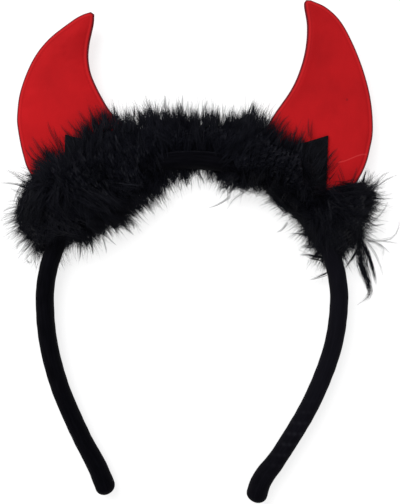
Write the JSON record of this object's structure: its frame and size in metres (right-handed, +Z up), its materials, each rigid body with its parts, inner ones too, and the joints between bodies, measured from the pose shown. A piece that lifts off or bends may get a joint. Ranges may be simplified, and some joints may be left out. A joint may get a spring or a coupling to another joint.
{
  "type": "devil horns headband",
  "caption": "Padded velvet headband with two flat padded red horns held in folded felt tabs and a black down feather trim along the crown, lying on its back.",
  "frame": {"origin": "under the middle of the whole, on the surface that it lies on", "axes": "X across the headband, +Y from the tips of the band towards the tips of the horns, +Z up, out of the front of the headband, which lies on its back"},
  "size_m": [0.1566, 0.2206, 0.0288],
  "materials": {
    "band_velvet": "short-pile black velvet, wrapped round a padded core",
    "horn_velour": "smooth red velour over thin foam, seamed round the rim",
    "tab_felt": "matt black craft felt",
    "down_feather": "black down feather, long soft barbs with frayed ends"
  },
  "bodies": {
    "root": {"headband": "band_velvet", "horn_left": "horn_velour", "horn_right": "horn_velour", "felt_tab_left": "tab_felt", "felt_tab_right": "tab_felt", "feather_trim": "down_feather", "loose_plume": "down_feather"}
  },
  "joints": []
}
